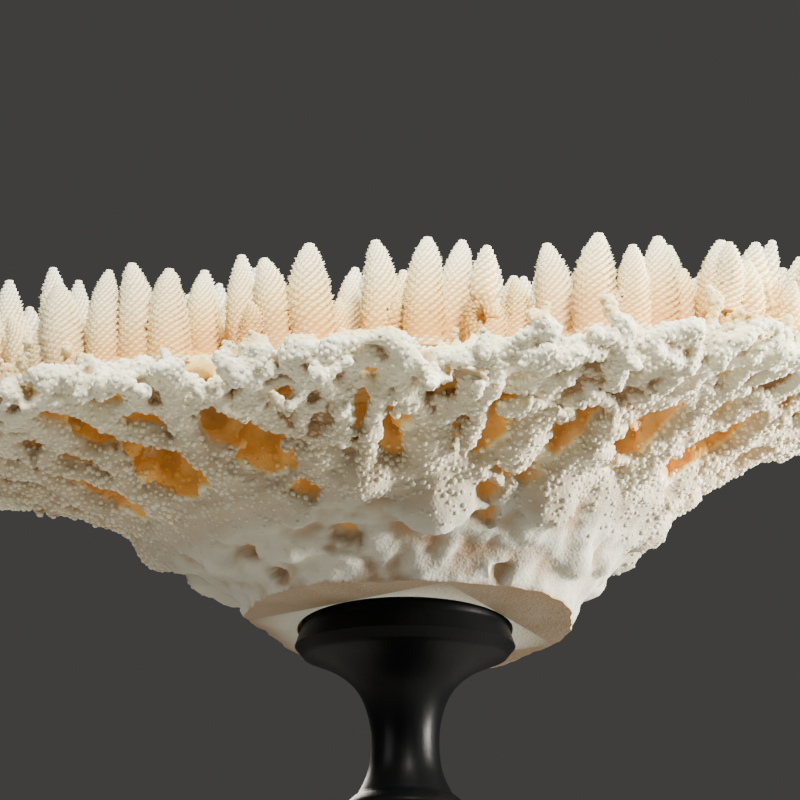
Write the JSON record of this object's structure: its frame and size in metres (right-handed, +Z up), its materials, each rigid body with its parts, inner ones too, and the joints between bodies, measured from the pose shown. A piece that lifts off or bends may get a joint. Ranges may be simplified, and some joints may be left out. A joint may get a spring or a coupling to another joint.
{
  "type": "table coral on pedestal",
  "caption": "Bleached flat-topped table coral crowded with short upright branchlets, its sawn foot resting on a slim black turned wooden pedestal.",
  "frame": {"origin": "centre of the pedestal's flat underside, on the surface it stands on", "axes": "+Z up through the pedestal, +X to the right seen from the front, along the table's longest side, -Y to the front"},
  "size_m": [0.3217, 0.2802, 0.2692],
  "materials": {
    "coral": "matte",
    "black_wood": "satin"
  },
  "bodies": {
    "root": {"pedestal": "black_wood", "coral_foot": "coral", "limb_front": "coral", "limb_front_right": "coral", "limb_right_front": "coral", "limb_right": "coral", "limb_back_right": "coral", "limb_back": "coral", "limb_back_left": "coral", "limb_left": "coral", "limb_front_left": "coral"}
  },
  "joints": []
}
